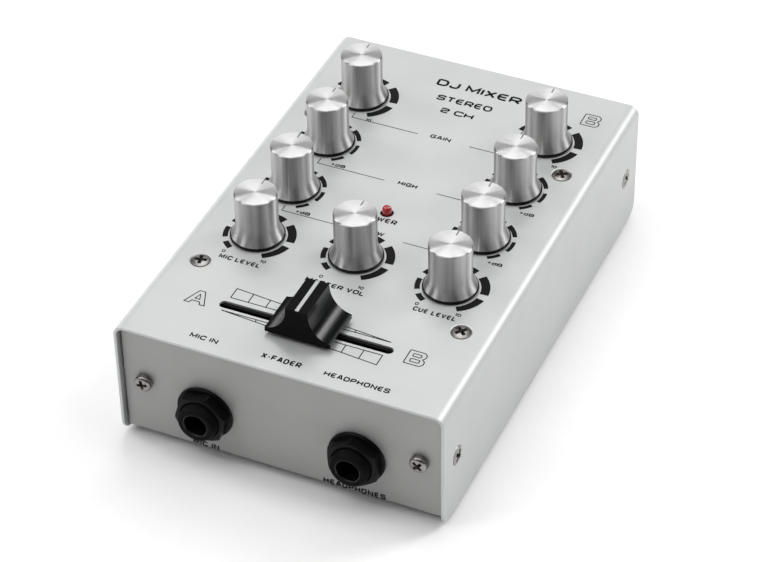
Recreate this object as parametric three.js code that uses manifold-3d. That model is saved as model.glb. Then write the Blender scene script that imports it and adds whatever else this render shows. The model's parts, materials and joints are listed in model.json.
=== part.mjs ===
// A compact two-channel DJ mixer: a cover and a chassis folded from sheet metal, nine rotary
// controls and a crossfader on top, two 6.35 mm jacks in front, phono sockets at the back.
// Millimetres. X runs along the front edge, Y to the back and Z up; Z = 0 is the table.

import * as THREE from "three";
import { mergeVertices } from "three/addons/utils/BufferGeometryUtils.js";
import Module from "manifold-3d";

const wasm = await Module();
wasm.setup();

// ---- Driving dimensions ----

const sheet = 1; // thickness of both folded sheets
const fit = 0.3; // clearance round a part that sits in a hole
const facets = { large: 20, medium: 16, small: 12 }; // sides of round shapes
const cover = { width: 105, length: 161.2, bottom: 1.5, top: 43.5, bend: 3.5, corner: 4.5 };
const panelFace = 78.6; // outer faces of the front and rear panels, from the body's centre
const chassis = { width: 102.1, bottom: 2.7, top: 42.2, bend: 1.5, corner: 2.2 };

const columnX = 31.64; // the two columns of knobs
const rowY = { gain: 51.25, high: 25.06, low: -0.88, level: -26.21, master: -24 };
const controls = [
  ...["gain", "high", "low"].flatMap((row) => [
    { name: `${row}_a`, x: -columnX, y: rowY[row] },
    { name: `${row}_b`, x: columnX, y: rowY[row] },
  ]),
  { name: "mic_level", x: -columnX, y: rowY.level },
  { name: "cue_level", x: columnX, y: rowY.level },
  { name: "master_vol", x: 0, y: rowY.master },
];
const knob = { radius: 6.65, height: 16.6, skirt: 8.1, flange: 8.5, lift: 0.4, rim: 0.5, bore: 12.8 };
const flare = { low: 1.2, high: 5.6, waist: 6.55, power: 1.6 };
const pointer = { half: 0.25, start: 4, depth: 0.4 };
const shaft = { radius: 3, top: 12.4, hole: 4 };

const slot = { x: -0.25, y: -59.2, length: 55.7, width: 3 };
const lever = { width: 8, neck: 4, thick: 1.5, shoulder: 3.6, reach: 6.8 };
const cap = { x: 0.7, lift: 1.2, height: 10.8, length: 15, half: 10.5, top: 3.5, edge: 0.3 };
const scoop = { x: 11.3, z: 10, rx: 7.7, rz: 8.6 };

const carriage = { halfX: 5, halfY: 2.9, gap: 0.4 };
const track = { halfX: 33, halfY: 5, height: 8, wall: 1, roomX: 28.5, roomY: 3.2, mouthY: 1.7 };

const led = { y: -1, radius: 1.5, rise: 1.2, hole: 1.9, depth: 4, pitch: 2.54, leg: 0.25 };
const jack = { x: 24.5, z: 17.9, thread: 6.25, bore: 3.4, mouth: 3.8, reach: 7.2, depth: 34 };
const jackBody = { width: 16, height: 16.2, back: 50, rim: 0.8, mouthDepth: 0.6 };
const nut = { acrossFlats: 15, front: 4.45, flange: 9, flangeThick: 1, chamfer: 0.5 };

const board = { half: 46, front: -76, back: 60, low: 26, high: 27.6 };
const sink = 0.5; // how far a housing or a post reaches into its board
const potCan = { halfX: 4.9, halfY: 5.5, height: 6.8, neck: 4.2, neckTop: 39.5, base: 0.6 };
const spacerRadius = 3.4;
const lowBoard = { half: 46, front: 42, back: 77, low: 7, high: 8.6 };
const leg = { radius: 3, inset: 6 };
const connector = { halfX: 12, front: 50, back: 53 };
const phono = { z: [15, 29], radius: 4.15, reach: 8.8, width: 12, depth: 11, top: 36, pin: 1.6 };
const phonoCup = { radius: 3.4, depth: 0.8 };
const phonoX = { input_a: -30, master_out: -4, input_b: 21 };
const inlet = { x: 34.2, z: 14.2, width: 9, depth: 13, back: 2, boss: 3.9, bore: 3.15, pin: 1.05 };
const slideSwitch = { z: 14.2, width: 9, height: 7, depth: 6, slider: 3, tall: 4, travel: 3 };
const sliderReach = { inside: 3, outside: 2 };
const switchX = { a: -17, b: 8.5 };

const topScrew = { x: 42.3, front: -43.6, back: 37.5, head: 3.15, length: 8 };
const sideScrew = { y: 70.5, z: 21.5, head: 3.15, length: 6 };
const panScrew = { x: 44.3, z: 23, head: 2.8, height: 2.4, length: 6 };
const screwRadius = 1.45;
const bracket = { low: 16.5, high: 25.7, leg: 12, thick: 1.5 };
const recess = { countersunk: 3.4, pan: 3, armShare: 0.25, depthShare: 0.38 };
const foot = { x: 40, y: 65, radius: 5, edge: 0.5 };

// ---- Finishes ----

const finish = (color, roughness, metalness) =>
  new THREE.MeshStandardMaterial({ color, roughness, metalness });
const silverPaint = finish(0xd6d9d8, 0.45, 0.6);
const spunAluminium = finish(0xe2e2e0, 0.28, 1);
const plainSteel = finish(0xb9b8b4, 0.3, 1);
const blackPlastic = finish(0x121212, 0.35, 0);
const mattBlack = finish(0x1c1c1c, 0.7, 0);
const rubber = finish(0x151515, 0.9, 0);
const boardGreen = finish(0x2c5a37, 0.6, 0);
const nickel = finish(0xc9c6bd, 0.25, 1);
const redLens = finish(0xb3202a, 0.25, 0);

// ---- Shapes and solids ----

function solid(geometry) {
  const bare = geometry.index ? geometry.toNonIndexed() : geometry.clone();
  bare.deleteAttribute("normal");
  bare.deleteAttribute("uv");
  const merged = mergeVertices(bare, 1e-4);
  const vertProperties = merged.attributes.position.array;
  const triVerts = new Uint32Array(merged.index.array);
  return new wasm.Manifold(new wasm.Mesh({ numProp: 3, vertProperties, triVerts }));
}

function geometryOf(manifold) {
  const mesh = manifold.getMesh();
  const geometry = new THREE.BufferGeometry();
  geometry.setAttribute("position", new THREE.BufferAttribute(mesh.vertProperties, 3));
  geometry.setIndex(new THREE.BufferAttribute(mesh.triVerts, 1));
  const flat = geometry.toNonIndexed();
  flat.computeVertexNormals();
  return flat;
}

const join = (first, ...others) => others.reduce((whole, piece) => whole.add(piece), first);
const cut = (first, ...others) => others.reduce((whole, piece) => whole.subtract(piece), first);

function block(x0, x1, y0, y1, z0, z1) {
  const box = new THREE.BoxGeometry(x1 - x0, y1 - y0, z1 - z0);
  return solid(box.translate((x0 + x1) / 2, (y0 + y1) / 2, (z0 + z1) / 2));
}

// A turned shape round Z from a list of [radius, height] points that starts and ends on the axis.
function turned(profile, segments) {
  const points = profile.map(([radius, height]) => new THREE.Vector2(radius, height));
  return solid(new THREE.LatheGeometry(points, segments).rotateX(Math.PI / 2));
}

const rod = (radius, low, high, segments = facets.small) =>
  turned([[0, low], [radius, low], [radius, high], [0, high]], segments);

const cone = (lowRadius, highRadius, low, high, segments = facets.small) =>
  turned([[0, low], [lowRadius, low], [highRadius, high], [0, high]], segments);

const toBack = (piece) => piece.rotate([-90, 0, 0]); // +Z turns to +Y
const toFront = (piece) => piece.rotate([90, 0, 0]); // +Z turns to -Y
const toSide = (piece, side) => piece.rotate([0, side * 90, 0]); // +Z turns to +X or -X

// A profile drawn in X and Z, swept along Y between -length / 2 and length / 2.
function sweptAlongY(shape, length, curveSegments) {
  const options = { depth: length, bevelEnabled: false, curveSegments };
  const geometry = new THREE.ExtrudeGeometry(shape, options).rotateX(Math.PI / 2);
  return solid(geometry.translate(0, length / 2, 0));
}

// A profile drawn in Y and Z, swept along X between -length / 2 and length / 2.
function sweptAlongX(shape, length, curveSegments) {
  const options = { depth: length, bevelEnabled: false, curveSegments };
  const turn = new THREE.Matrix4().makeBasis(
    new THREE.Vector3(0, 1, 0),
    new THREE.Vector3(0, 0, 1),
    new THREE.Vector3(1, 0, 0),
  );
  const geometry = new THREE.ExtrudeGeometry(shape, options).applyMatrix4(turn);
  return solid(geometry.translate(-length / 2, 0, 0));
}

// ---- The assembly ----

const mixer = new THREE.Group();
mixer.name = "dj_mixer";

function place(name, piece, material, position = [0, 0, 0], rotation = [0, 0, 0]) {
  const mesh = new THREE.Mesh(geometryOf(piece), material.clone());
  mesh.name = name;
  mesh.position.set(...position);
  mesh.rotation.set(...rotation);
  mixer.add(mesh);
}

const corners = [
  { name: "front_left", x: -1, y: -1 },
  { name: "front_right", x: 1, y: -1 },
  { name: "rear_left", x: -1, y: 1 },
  { name: "rear_right", x: 1, y: 1 },
];

const topScrewAt = (corner) => [corner.x * topScrew.x, corner.y < 0 ? topScrew.front : topScrew.back];

// ---- Folded sheets ----

function coverProfile() {
  const outer = cover.width / 2;
  const inner = outer - sheet;
  const bendX = outer - cover.bend;
  const bendZ = cover.top - cover.bend;
  const shape = new THREE.Shape();
  shape.moveTo(inner, cover.bottom);
  shape.lineTo(outer, cover.bottom);
  shape.absarc(bendX, bendZ, cover.bend, 0, Math.PI / 2, false);
  shape.absarc(-bendX, bendZ, cover.bend, Math.PI / 2, Math.PI, false);
  shape.lineTo(-outer, cover.bottom);
  shape.lineTo(-inner, cover.bottom);
  shape.absarc(-bendX, bendZ, cover.bend - sheet, Math.PI, Math.PI / 2, true);
  shape.absarc(bendX, bendZ, cover.bend - sheet, Math.PI / 2, 0, true);
  return shape;
}

// The side walls' outline, with both bottom corners rounded.
function coverSideOutline() {
  const half = cover.length / 2;
  const round = cover.corner;
  const above = cover.top + sheet;
  const shape = new THREE.Shape();
  shape.moveTo(half, above);
  shape.lineTo(-half, above);
  shape.absarc(-half + round, cover.bottom + round, round, Math.PI, 1.5 * Math.PI, false);
  shape.absarc(half - round, cover.bottom + round, round, 1.5 * Math.PI, 2 * Math.PI, false);
  return shape;
}

function faderSlot() {
  const reach = (slot.length - slot.width) / 2;
  const low = cover.top - 2 * sheet;
  const high = cover.top + sheet;
  const middle = block(-reach, reach, -slot.width / 2, slot.width / 2, low, high);
  const end = rod(slot.width / 2, low, high);
  const whole = join(middle, end.translate([-reach, 0, 0]), end.translate([reach, 0, 0]));
  return whole.translate([slot.x, slot.y, 0]);
}

// The hole for a countersunk screw whose head lies flush with the face at Z = 0.
function countersink({ head, length }) {
  const wide = head + fit;
  const narrow = screwRadius + fit;
  return join(cone(narrow, wide + 1, narrow - wide, 1), rod(narrow, -length - 1, 0));
}

const sideScrewHole = ({ x, y }) =>
  toSide(countersink(sideScrew), x).translate([(x * cover.width) / 2, y * sideScrew.y, sideScrew.z]);

function makeCover() {
  const folded = sweptAlongY(coverProfile(), cover.length, 5);
  const outline = sweptAlongX(coverSideOutline(), cover.width + 2, 4);
  const controlHole = rod(shaft.hole, cover.top - 2 * sheet, cover.top + sheet, facets.medium);
  const holes = controls.map(({ x, y }) => controlHole.translate([x, y, 0]));
  holes.push(rod(led.hole, cover.top - 2 * sheet, cover.top + sheet).translate([0, led.y, 0]));
  for (const corner of corners) {
    holes.push(countersink(topScrew).translate([...topScrewAt(corner), cover.top]));
    holes.push(sideScrewHole(corner));
  }
  place("top_cover", cut(folded.intersect(outline), faderSlot(), ...holes), silverPaint);
}

function chassisProfile() {
  const half = panelFace;
  const inner = half - sheet;
  const floor = chassis.bottom + sheet;
  const bendY = half - chassis.bend;
  const bendZ = chassis.bottom + chassis.bend;
  const insideBend = chassis.bend - sheet;
  const shape = new THREE.Shape();
  shape.moveTo(-inner, chassis.top);
  shape.lineTo(-half, chassis.top);
  shape.absarc(-bendY, bendZ, chassis.bend, Math.PI, 1.5 * Math.PI, false);
  shape.absarc(bendY, bendZ, chassis.bend, 1.5 * Math.PI, 2 * Math.PI, false);
  shape.lineTo(half, chassis.top);
  shape.lineTo(inner, chassis.top);
  shape.absarc(inner - insideBend, floor + insideBend, insideBend, 0, -Math.PI / 2, true);
  shape.absarc(-inner + insideBend, floor + insideBend, insideBend, -Math.PI / 2, -Math.PI, true);
  return shape;
}

// The panels' outline, with the top corners rounded to clear the cover's bends.
function chassisFrontOutline() {
  const half = chassis.width / 2;
  const round = chassis.corner;
  const shape = new THREE.Shape();
  shape.moveTo(-half, 0);
  shape.lineTo(half, 0);
  shape.absarc(half - round, chassis.top - round, round, 0, Math.PI / 2, false);
  shape.absarc(-half + round, chassis.top - round, round, Math.PI / 2, Math.PI, false);
  return shape;
}

function makeChassis() {
  const blank = sweptAlongX(chassisProfile(), chassis.width, 3);
  const folded = blank.intersect(sweptAlongY(chassisFrontOutline(), cover.length, 4));
  const hole = [panelFace - 2 * sheet, panelFace + sheet];
  const through = (radius, segments) => rod(radius, ...hole, segments);
  const phonoHole = toBack(through(phono.radius + fit, facets.medium));
  const jackHole = toFront(through(jack.thread + fit, facets.large));
  const holes = [-1, 1].map((side) => jackHole.translate([side * jack.x, 0, jack.z]));
  for (const side of [-1, 1]) {
    const screwHole = through(screwRadius + fit);
    holes.push(toFront(screwHole).translate([side * panScrew.x, 0, panScrew.z]));
    holes.push(toBack(screwHole).translate([side * panScrew.x, 0, panScrew.z]));
  }
  for (const x of Object.values(phonoX))
    for (const z of phono.z) holes.push(phonoHole.translate([x, 0, z]));
  holes.push(toBack(through(inlet.boss + fit)).translate([inlet.x, 0, inlet.z]));
  for (const x of Object.values(switchX)) {
    const halfX = (slideSwitch.slider + slideSwitch.travel) / 2 + fit;
    const halfZ = slideSwitch.tall / 2 + fit;
    holes.push(block(x - halfX, x + halfX, ...hole, slideSwitch.z - halfZ, slideSwitch.z + halfZ));
  }
  place("chassis", cut(folded, ...holes), silverPaint);
}

// An angle in each corner: a pan screw holds it to the panel and a side screw to the cover.
function makeBrackets() {
  const wall = cover.width / 2 - sheet;
  const panel = panelFace - sheet;
  const screwHole = rod(screwRadius + fit, -bracket.leg, bracket.leg);
  for (const corner of corners) {
    const { name, x, y } = corner;
    const span = (a, b, sign) => [sign * a, sign * b].sort((p, q) => p - q);
    const legX = span(wall - bracket.leg, wall, x);
    const legY = span(panel - bracket.leg, panel, y);
    const thinX = span(wall - bracket.thick, wall, x);
    const thinY = span(panel - bracket.thick, panel, y);
    const angle = join(
      block(...legX, ...thinY, bracket.low, bracket.high),
      block(...thinX, ...legY, bracket.low, bracket.high),
    );
    const panHole = toBack(screwHole).translate([x * panScrew.x, y * panel, panScrew.z]);
    place(`corner_bracket_${name}`, cut(angle, panHole, sideScrewHole(corner)), plainSteel);
  }
}

// ---- Screws and feet ----

function crossRecess(top, size) {
  const arm = size / 2;
  const half = arm * recess.armShare;
  const bottom = top - size * recess.depthShare;
  return join(
    block(-arm, arm, -half, half, bottom, top + 1),
    block(-half, half, -arm, arm, bottom, top + 1),
  );
}

function countersunkScrew({ head, length }) {
  const profile = [
    [0, -length],
    [screwRadius, -length],
    [screwRadius, screwRadius - head],
    [head, 0],
    [0, 0],
  ];
  return cut(turned(profile, facets.small), crossRecess(0, recess.countersunk));
}

function panHeadScrew({ head, height, length }) {
  const profile = [
    [0, -length],
    [screwRadius, -length],
    [screwRadius, 0],
    [head, 0],
    [head, 0.4 * height],
    [0.8 * head, 0.8 * height],
    [0.4 * head, height],
    [0, height],
  ];
  return cut(turned(profile, facets.small), crossRecess(height, recess.pan));
}

function makeScrews() {
  const quarter = Math.PI / 2;
  for (const corner of corners) {
    const { name, x, y } = corner;
    place(`top_screw_${name}`, countersunkScrew(topScrew), plainSteel, [...topScrewAt(corner), cover.top]);
    const onSide = [(x * cover.width) / 2, y * sideScrew.y, sideScrew.z];
    place(`side_screw_${name}`, countersunkScrew(sideScrew), plainSteel, onSide, [0, x * quarter, 0]);
    const onPanel = [x * panScrew.x, y * panelFace, panScrew.z];
    place(`panel_screw_${name}`, panHeadScrew(panScrew), plainSteel, onPanel, [-y * quarter, 0, 0]);
  }
}

function makeFeet() {
  const profile = [
    [0, 0],
    [foot.radius - foot.edge, 0],
    [foot.radius, foot.edge],
    [foot.radius, chassis.bottom],
    [0, chassis.bottom],
  ];
  for (const { name, x, y } of corners)
    place(`foot_${name}`, turned(profile, facets.medium), rubber, [x * foot.x, y * foot.y, 0]);
}

// ---- Circuit boards ----

// The main board hangs from the cover on four spacers and carries the housings of the rotary controls.
function makeMainBoard() {
  const { halfX, halfY, height, neck, neckTop, base } = potCan;
  const shaftHole = rod(shaft.radius + fit, board.high + base, cover.top);
  const can = block(-halfX, halfX, -halfY, halfY, board.high - sink, board.high + height);
  const pot = cut(join(can, rod(neck, board.high, neckTop)), shaftHole);
  const post = rod(spacerRadius, board.high - sink, cover.top - sheet, 6);
  const spacer = cut(post, countersink(topScrew).translate([0, 0, cover.top]));
  const plate = block(-board.half, board.half, board.front, board.back, board.low, board.high);
  const pots = controls.map(({ x, y }) => pot.translate([x, y, 0]));
  const spacers = corners.map((corner) => spacer.translate([...topScrewAt(corner), 0]));
  place("main_board", join(plate, ...pots, ...spacers), boardGreen);
}

// The lower board stands on the chassis floor and carries the rear sockets and switches.
function makeLowerBoard() {
  const { half, front, back, low, high } = lowBoard;
  const post = rod(leg.radius, chassis.bottom + sheet, low + sink);
  const legs = [-1, 1].flatMap((side) => [
    post.translate([side * (half - leg.inset), front + leg.inset, 0]),
    post.translate([side * (half - leg.inset), back - leg.inset, 0]),
  ]);
  place("rear_board", join(block(-half, half, front, back, low, high), ...legs), boardGreen);
  const { halfX, front: plugFront, back: plugBack } = connector;
  place("board_connector", block(-halfX, halfX, plugFront, plugBack, high, board.low), blackPlastic);
}

// ---- Controls ----

function knobSolid() {
  const { radius, height, skirt, flange, lift, rim, bore } = knob;
  const boreRadius = shaft.radius + fit;
  const chamfer = 0.4;
  const steps = 5;
  const flareCurve = Array.from({ length: steps + 1 }, (_, i) => {
    const share = i / steps;
    const swell = (skirt - flare.waist) * (1 - share) ** flare.power;
    return [flare.waist + swell, flare.low + (flare.high - flare.low) * share];
  });
  const profile = [
    [0, bore],
    [boreRadius, bore],
    [boreRadius, lift],
    [flange, lift],
    [flange, lift + rim],
    [skirt, lift + rim],
    ...flareCurve,
    [radius, height - chamfer],
    [radius - chamfer, height],
    [0, height],
  ];
  const { half, start, depth } = pointer;
  const groove = block(-half, half, start, radius + 1, height - depth, height + 1);
  return cut(turned(profile, facets.large), groove);
}

function makeControls() {
  const low = board.high + 1;
  const tip = cover.top + shaft.top;
  const chamfer = 0.5;
  const axle = [
    [0, low],
    [shaft.radius, low],
    [shaft.radius, tip - chamfer],
    [shaft.radius - chamfer, tip],
    [0, tip],
  ];
  for (const { name, x, y } of controls) {
    place(`knob_${name}`, knobSolid(), spunAluminium, [x, y, cover.top]);
    place(`shaft_${name}`, turned(axle, facets.small), plainSteel, [x, y, 0]);
  }
}

function makeLed() {
  const tip = cover.top + led.rise + led.radius;
  const base = cover.top - led.depth;
  const lens = turned(
    [
      [0, base],
      [led.hole, base],
      [led.hole, base + 1],
      [led.radius, base + 1],
      [led.radius, tip - led.radius],
      [0.87 * led.radius, tip - 0.5 * led.radius],
      [0.5 * led.radius, tip - 0.13 * led.radius],
      [0, tip],
    ],
    facets.small,
  );
  const wire = block(-led.leg, led.leg, -led.leg, led.leg, board.high, base + sink);
  const legs = [-1, 1].map((side) => wire.translate([(side * led.pitch) / 2, 0, 0]));
  place("power_led", join(lens, ...legs), redLens, [0, led.y, 0]);
}

// ---- Crossfader ----

function makeFader() {
  const low = board.high;
  const top = low + track.height;
  const { halfX, halfY, wall, roomX, roomY, mouthY } = track;
  const housing = cut(
    block(-halfX, halfX, -halfY, halfY, low, top),
    block(-roomX, roomX, -roomY, roomY, low + wall, top - wall),
    block(-roomX, roomX, -mouthY, mouthY, top - 2 * wall, top + 1),
  );
  place("fader_housing", housing, plainSteel, [slot.x, slot.y, 0]);

  const { width, neck, thick, shoulder, reach } = lever;
  const capBottom = cover.top + cap.lift;
  const slideLow = low + wall + fit;
  const slideHigh = top - wall - carriage.gap;
  const half = thick / 2;
  const arm = join(
    block(-carriage.halfX, carriage.halfX, -carriage.halfY, carriage.halfY, slideLow, slideHigh),
    block(-width / 2, width / 2, -half, half, slideLow + 1, capBottom + shoulder),
    block(-neck / 2, neck / 2, -half, half, capBottom, capBottom + reach),
  );
  place("fader_carriage", arm, mattBlack, [cap.x, slot.y, 0]);
  place("fader_cap", faderCap(), blackPlastic, [cap.x, slot.y, capBottom]);
}

// A waisted cap: a finger scoop on each side of a flat ridge, with a socket for the lever.
function faderCap() {
  const steps = 8;
  const cornerZ = scoop.z - scoop.rz * Math.sqrt(1 - ((scoop.x - cap.half) / scoop.rx) ** 2);
  const startAngle = Math.acos((scoop.x - cap.half) / scoop.rx);
  const scoopCurve = Array.from({ length: steps + 1 }, (_, i) => {
    const angle = startAngle * (1 - i / steps);
    return [scoop.x - scoop.rx * Math.cos(angle), scoop.z - scoop.rz * Math.sin(angle)];
  });
  const right = [
    [cap.half, 0],
    [cap.half, cornerZ],
    ...scoopCurve.slice(1),
    [cap.top, cap.height - cap.edge],
    [cap.top - cap.edge, cap.height],
  ];
  const left = right.map(([x, z]) => [-x, z]).reverse();
  const outline = new THREE.Shape([...right, ...left].map(([x, z]) => new THREE.Vector2(x, z)));
  const { width, neck, thick, shoulder, reach } = lever;
  const halfThick = thick / 2 + fit;
  return cut(
    sweptAlongY(outline, cap.length, 1),
    block(-width / 2 - fit, width / 2 + fit, -halfThick, halfThick, -1, shoulder + fit),
    block(-neck / 2 - fit, neck / 2 + fit, -halfThick, halfThick, -1, reach + fit),
  );
}

// ---- Front jacks ----

function makeJacks() {
  const tip = panelFace + jack.reach;
  const inside = panelFace - sheet;
  const { rim, mouthDepth } = jackBody;
  const half = jackBody.width / 2;
  const halfZ = jackBody.height / 2;
  const barrel = join(
    rod(jack.thread, inside - 2, tip - rim, facets.large),
    cone(jack.thread, jack.thread - rim, tip - rim, tip, facets.large),
  );
  const bore = join(
    rod(jack.bore, tip - jack.depth, tip + 1, facets.large),
    cone(jack.bore, jack.mouth, tip - mouthDepth, tip, facets.large),
  );
  const shell = block(-half, half, -inside, -jackBody.back, -halfZ, halfZ);
  const body = cut(join(shell, toFront(barrel)), toFront(bore));

  const corner = nut.acrossFlats / Math.sqrt(3);
  const front = panelFace + nut.front;
  const hex = rod(corner, panelFace, front, 6);
  const edge = cone(corner + nut.front / 2, corner - nut.chamfer, panelFace, front, facets.large);
  const washer = rod(nut.flange, panelFace, panelFace + nut.flangeThick, facets.large);
  const nutHole = rod(jack.thread + fit, panelFace - 1, front + 1, facets.large);

  const sides = [
    { name: "mic", x: -jack.x, turn: 13 },
    { name: "headphone", x: jack.x, turn: 33 },
  ];
  for (const { name, x, turn } of sides) {
    place(`jack_${name}`, body, blackPlastic, [x, 0, jack.z]);
    const ring = cut(join(hex.intersect(edge).rotate([0, 0, turn]), washer), nutHole);
    place(`jack_nut_${name}`, toFront(ring), blackPlastic, [x, 0, jack.z]);
  }
}

// ---- Rear sockets and switches ----

function makePhonoSockets() {
  const inside = panelFace - sheet;
  const tip = panelFace + phono.reach;
  const half = phono.width / 2;
  const housing = block(-half, half, inside - phono.depth, inside, lowBoard.high, phono.top);
  const sleeve = rod(phono.radius, inside - 1, tip, facets.medium);
  const hollow = join(
    rod(phonoCup.radius, tip - phonoCup.depth, tip + 1),
    rod(phono.pin, inside - phono.depth / 2, tip),
  );
  const sleeves = phono.z.map((z) => toBack(sleeve).translate([0, 0, z]));
  const hollows = phono.z.map((z) => toBack(hollow).translate([0, 0, z]));
  const pair = cut(join(housing, ...sleeves), ...hollows);
  for (const [name, x] of Object.entries(phonoX))
    place(`phono_sockets_${name}`, pair, nickel, [x, 0, 0]);
}

function makePowerInlet() {
  const inside = panelFace - sheet;
  const half = inlet.width / 2;
  const bottom = inside - inlet.depth + inlet.back;
  const can = block(-half, half, inside - inlet.depth, inside, lowBoard.high, inlet.z + half);
  const boss = toBack(rod(inlet.boss, inside - 1, panelFace)).translate([0, 0, inlet.z]);
  const bore = toBack(rod(inlet.bore, bottom, panelFace + 1)).translate([0, 0, inlet.z]);
  const pin = toBack(rod(inlet.pin, bottom - 1, inside)).translate([0, 0, inlet.z]);
  place("power_inlet", join(cut(join(can, boss), bore), pin), blackPlastic, [inlet.x, 0, 0]);
}

function makeSlideSwitches() {
  const inside = panelFace - sheet;
  const { z, width, height, depth, slider, tall, travel } = slideSwitch;
  const half = width / 2;
  const room = (slider + travel) / 2 + fit;
  const can = block(-half, half, inside - depth, inside, lowBoard.high, z + height / 2);
  const [low, high] = [z - tall / 2, z + tall / 2];
  const back = inside - sliderReach.inside;
  const pocket = block(-room, room, back - fit, inside + 1, low - fit, high + fit);
  const button = block(-slider / 2, slider / 2, back, panelFace + sliderReach.outside, low, high);
  for (const [name, x] of Object.entries(switchX)) {
    place(`switch_housing_${name}`, cut(can, pocket), plainSteel, [x, 0, 0]);
    place(`switch_slider_${name}`, button, mattBlack, [x - travel / 2, 0, 0]);
  }
}

makeCover();
makeChassis();
makeBrackets();
makeScrews();
makeFeet();
makeMainBoard();
makeLowerBoard();
makeControls();
makeLed();
makeFader();
makeJacks();
makePhonoSockets();
makePowerInlet();
makeSlideSwitches();

// The origin lies under the middle of the whole length, jack tips and phono sleeves included.
mixer.position.y = (jack.reach - phono.reach) / 2;

export default mixer;
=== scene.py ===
import json
import math

import bmesh
import bpy
from mathutils import Matrix, Vector

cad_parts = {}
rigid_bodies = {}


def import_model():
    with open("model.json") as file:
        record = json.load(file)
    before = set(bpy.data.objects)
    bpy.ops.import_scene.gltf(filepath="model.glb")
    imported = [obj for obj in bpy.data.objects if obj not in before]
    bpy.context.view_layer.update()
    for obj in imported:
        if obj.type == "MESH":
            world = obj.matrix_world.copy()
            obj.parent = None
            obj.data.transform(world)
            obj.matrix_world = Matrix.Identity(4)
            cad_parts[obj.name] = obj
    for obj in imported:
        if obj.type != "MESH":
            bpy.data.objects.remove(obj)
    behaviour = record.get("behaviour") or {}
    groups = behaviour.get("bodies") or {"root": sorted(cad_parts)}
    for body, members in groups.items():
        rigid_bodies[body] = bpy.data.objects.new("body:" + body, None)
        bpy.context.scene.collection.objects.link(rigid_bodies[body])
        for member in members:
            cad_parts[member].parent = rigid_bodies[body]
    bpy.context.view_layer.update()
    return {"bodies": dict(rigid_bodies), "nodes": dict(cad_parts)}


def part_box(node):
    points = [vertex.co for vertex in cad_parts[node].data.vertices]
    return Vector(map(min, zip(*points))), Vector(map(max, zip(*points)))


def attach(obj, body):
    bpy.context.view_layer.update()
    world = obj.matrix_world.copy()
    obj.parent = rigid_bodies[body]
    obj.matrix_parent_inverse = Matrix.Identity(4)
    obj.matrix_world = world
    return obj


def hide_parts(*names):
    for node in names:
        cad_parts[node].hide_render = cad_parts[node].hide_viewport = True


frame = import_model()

# A compact two-channel DJ mixer, on a table at Z = 0 with its front towards -Y.
# Shapes are drawn in millimetres and scaled to metres when they become meshes.

MM = 0.001
scene = bpy.context.scene


def box_mm(node):
    """A CAD node's box in millimetres."""
    low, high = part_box(node)
    return low / MM, high / MM


def centre_mm(node):
    low, high = box_mm(node)
    return (low + high) / 2


cover_low, cover_high = box_mm("top_cover")
chassis_low, chassis_high = box_mm("chassis")
TOP = cover_high.z
MID_Y = (cover_low.y + cover_high.y) / 2
FRONT = chassis_low.y
REAR = chassis_high.y
SHEET = 1.0
PHONO_HEIGHTS = (15, 29)
INLET_HEIGHT = 14.2
SWITCH_TRAVEL = 3.0
CORNERS = ("front_left", "front_right", "rear_left", "rear_right")
KNOBS = sorted(n for n in frame["nodes"] if n.startswith("knob_"))
TONE_KNOBS = tuple(n for n in KNOBS if n.split("_")[1] in ("high", "low"))
PHONO_NODES = [n for n in frame["nodes"] if n.startswith("phono_sockets_")]


# ---- Camera ----

CAMERA_ANGLES = (24.51, 39.7, -1.0)  # round to the right, up, and rolled, in degrees
CAMERA_PLACE = (272.2, -603.3, 565.15)  # from the spot on the table under the cover's middle
CAMERA_LENS = 130.1
CAMERA_SENSOR = 36


def make_camera():
    azimuth, elevation, roll = (math.radians(angle) for angle in CAMERA_ANGLES)
    right = Vector((math.cos(azimuth), math.sin(azimuth), 0))
    level = math.cos(elevation)
    back = Vector((math.sin(azimuth) * level, -math.cos(azimuth) * level, math.sin(elevation)))
    up = back.cross(right)
    tilted_right = right * math.cos(roll) + up * math.sin(roll)
    tilted_up = up * math.cos(roll) - right * math.sin(roll)
    data = bpy.data.cameras.new("camera")
    data.sensor_width = CAMERA_SENSOR
    data.lens = CAMERA_LENS
    camera = bpy.data.objects.new("camera", data)
    scene.collection.objects.link(camera)
    rotation = Matrix((tilted_right, tilted_up, back)).transposed()
    x, y, z = CAMERA_PLACE
    place = Vector((x, y + MID_Y, z)) * MM
    camera.matrix_world = Matrix.Translation(place) @ rotation.to_4x4()
    scene.camera = camera


make_camera()


# ---- Materials ----


RELIEF_DEPTH = 0.00002  # in metres


def noise(nodes, links, scale, detail, stretch=(1, 1, 1)):
    """Procedural noise in the piece's own coordinates, as a socket from 0 to 1."""
    place = nodes.new("ShaderNodeTexCoord")
    mapping = nodes.new("ShaderNodeMapping")
    mapping.inputs["Scale"].default_value = stretch
    texture = nodes.new("ShaderNodeTexNoise")
    texture.inputs["Scale"].default_value = scale
    texture.inputs["Detail"].default_value = detail
    links.new(place.outputs["Object"], mapping.inputs["Vector"])
    links.new(mapping.outputs["Vector"], texture.inputs["Vector"])
    return texture.outputs["Fac"]


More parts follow.
